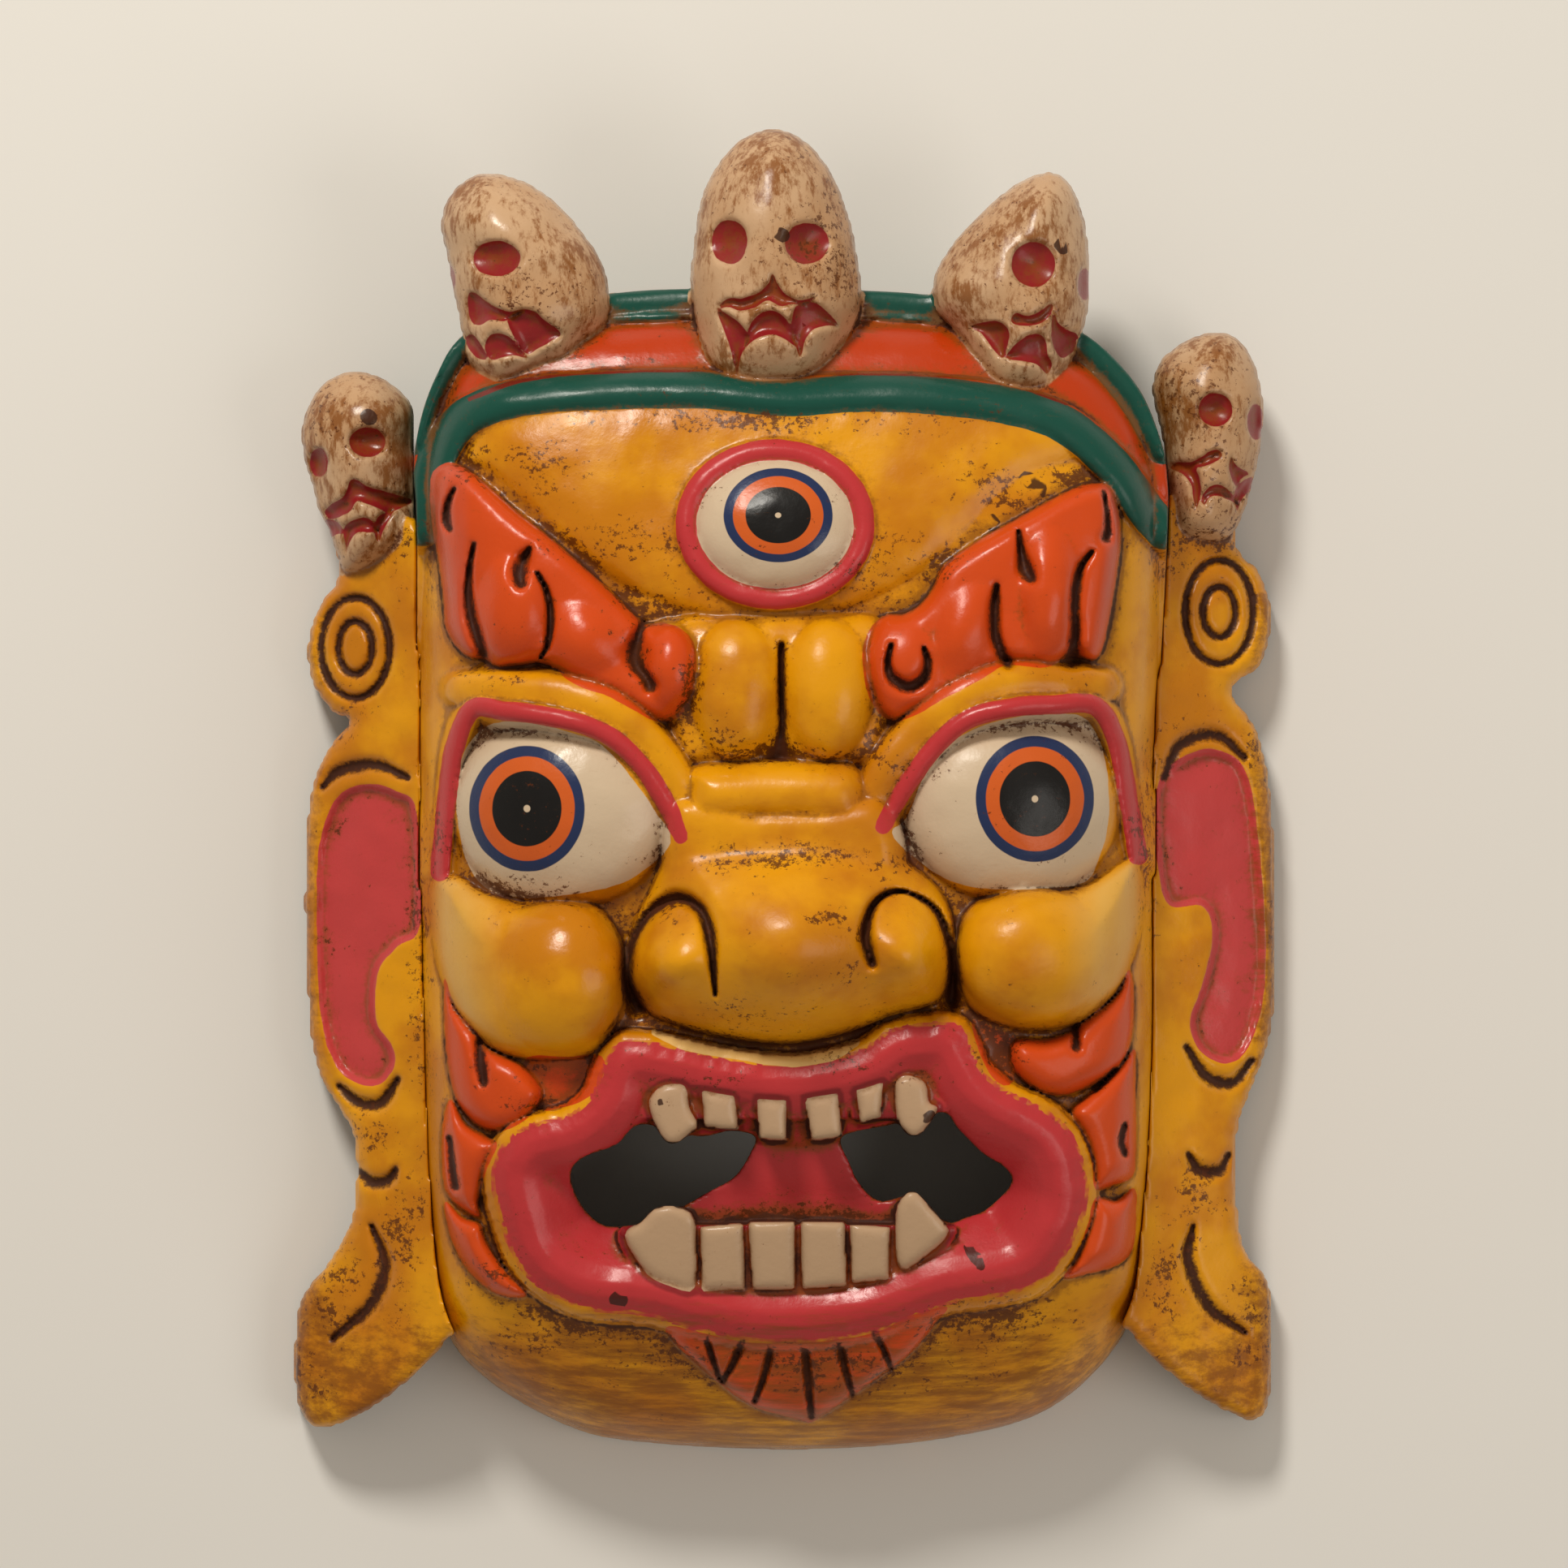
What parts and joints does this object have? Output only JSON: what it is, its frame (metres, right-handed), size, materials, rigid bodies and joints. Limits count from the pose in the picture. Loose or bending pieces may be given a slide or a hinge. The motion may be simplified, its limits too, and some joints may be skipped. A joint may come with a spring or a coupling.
{
  "type": "wooden dance mask",
  "caption": "Carved and painted wooden dance mask of a wrathful guardian with a yellow face, a third eye, bared fangs, long ears and a crown of skulls, hollow at the back.",
  "frame": {"origin": "middle of the mask's outline on the plane of the rim it lies on", "axes": "+Z out of the face, +Y up the face towards the skulls, +X to the right as one looks at the face"},
  "size_m": [0.3022, 0.399, 0.1194],
  "materials": {
    "painted_face": "yellow enamel paint with red, orange, green and cream, over carved wood, glossy and worn",
    "painted_left_ear": "yellow enamel paint with a pink ear hollow and a cream skull, over carved wood, glossy and worn",
    "painted_right_ear": "yellow enamel paint with a pink ear hollow and a cream skull, over carved wood, glossy and worn"
  },
  "bodies": {
    "root": {"face_block": "painted_face", "left_ear_board": "painted_left_ear", "right_ear_board": "painted_right_ear"}
  },
  "joints": []
}
